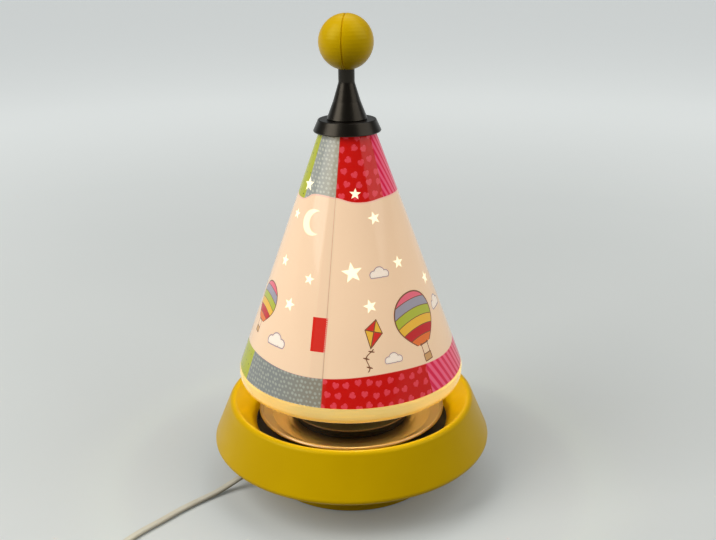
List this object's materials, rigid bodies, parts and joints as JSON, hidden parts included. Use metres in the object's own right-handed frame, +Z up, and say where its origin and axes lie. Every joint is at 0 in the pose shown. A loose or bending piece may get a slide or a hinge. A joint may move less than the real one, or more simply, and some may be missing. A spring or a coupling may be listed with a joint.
{
  "type": "rotating motion lamp",
  "caption": "Table night lamp: a printed cone shade that warm air turns on a needle, over a round plastic base with a metal dish, with a corded switch and plug.",
  "frame": {"origin": "on the floor, at the axis of the base and shade", "axes": "+Z up along the shade's turning axis; -Y faces the viewer of the picture, +X is to the right"},
  "size_m": [0.2796, 0.3057, 0.3487],
  "materials": {
    "yellow_plastic": "satin",
    "black_plastic": "satin",
    "hub_black": "matte",
    "dish_metal": "satin champagne",
    "zinc_steel": "zinc plated",
    "bare_wire": "drawn",
    "black_steel": "powder coated",
    "brass": "satin",
    "rubber_black": "matte",
    "holder_plastic": "satin",
    "bulb_clear": "clear",
    "bulb_metal": "satin",
    "stem_glass": "clear",
    "filament": "glowing",
    "shade_clear": "translucent gloss",
    "printed_sheet": "printed satin",
    "turbine_white": "satin",
    "cord_white": "satin",
    "fitting_white": "satin",
    "pin_metal": "nickel",
    "sleeve_black": "satin",
    "lead_brown": "satin",
    "tie_grey": "hook and loop"
  },
  "bodies": {
    "base": {"base_ring": "yellow_plastic", "foot_shell": "yellow_plastic", "bottom_plate": "black_steel", "bottom_screws": "zinc_steel", "rubber_feet": "rubber_black", "well_liner": "black_steel", "dish": "dish_metal", "dish_spacers": "zinc_steel", "dish_screws": "zinc_steel", "hub_plate": "hub_black", "lampholder": "holder_plastic", "holder_ring_nuts": "holder_plastic", "holder_sleeve": "brass", "holder_contact": "brass", "bulb_glass": "bulb_clear", "bulb_cap": "bulb_metal", "bulb_stem": "stem_glass", "bulb_filament": "filament", "needle_bridge": "bare_wire", "bridge_nuts": "zinc_steel", "needle_ferrule": "brass", "needle": "bare_wire", "terminal_block": "holder_plastic", "terminal_screws": "zinc_steel", "cord_clamp": "holder_plastic", "clamp_screws": "zinc_steel", "holder_leads": "lead_brown", "cord_end": "cord_white", "strain_relief": "cord_white", "cord_lamp_run": "cord_white", "cord_switch_run": "cord_white", "cord_coil": "cord_white", "cord_plug_run": "cord_white", "coil_tie": "tie_grey", "switch_lower": "fitting_white", "switch_upper": "fitting_white", "rocker_pin": "zinc_steel", "switch_contacts": "brass", "switch_screws": "zinc_steel", "plug_body": "fitting_white", "plug_pins": "pin_metal", "plug_sleeves": "sleeve_black"},
    "bearing": {"bearing_cup": "brass"},
    "rotor": {"turbine": "turbine_white", "shade_cone": "shade_clear", "print_sleeve": "printed_sheet", "top_spider": "black_plastic", "cap_flange": "black_plastic", "cap_cone": "black_plastic", "long_screw": "zinc_steel", "ball_left": "yellow_plastic", "ball_right": "yellow_plastic", "ball_dowel": "zinc_steel"},
    "rocker": {"switch_rocker": "fitting_white"}
  },
  "joints": [
    {"name": "shade_lift", "type": "slide", "parent": "base", "child": "bearing", "axis": [0, 0, 1], "range_m": [0, 0.16]},
    {"name": "shade_spin", "type": "hinge", "parent": "bearing", "child": "rotor", "pos_m": [0, 0, 0.24], "axis": [0, 0, 1], "continuous": true},
    {"name": "switch_rocker_tilt", "type": "hinge", "parent": "base", "child": "rocker", "pos_m": [-0.105, -0.181, 0.0116], "axis": [0, 1, 0], "range_deg": [0, 18]}
  ]
}
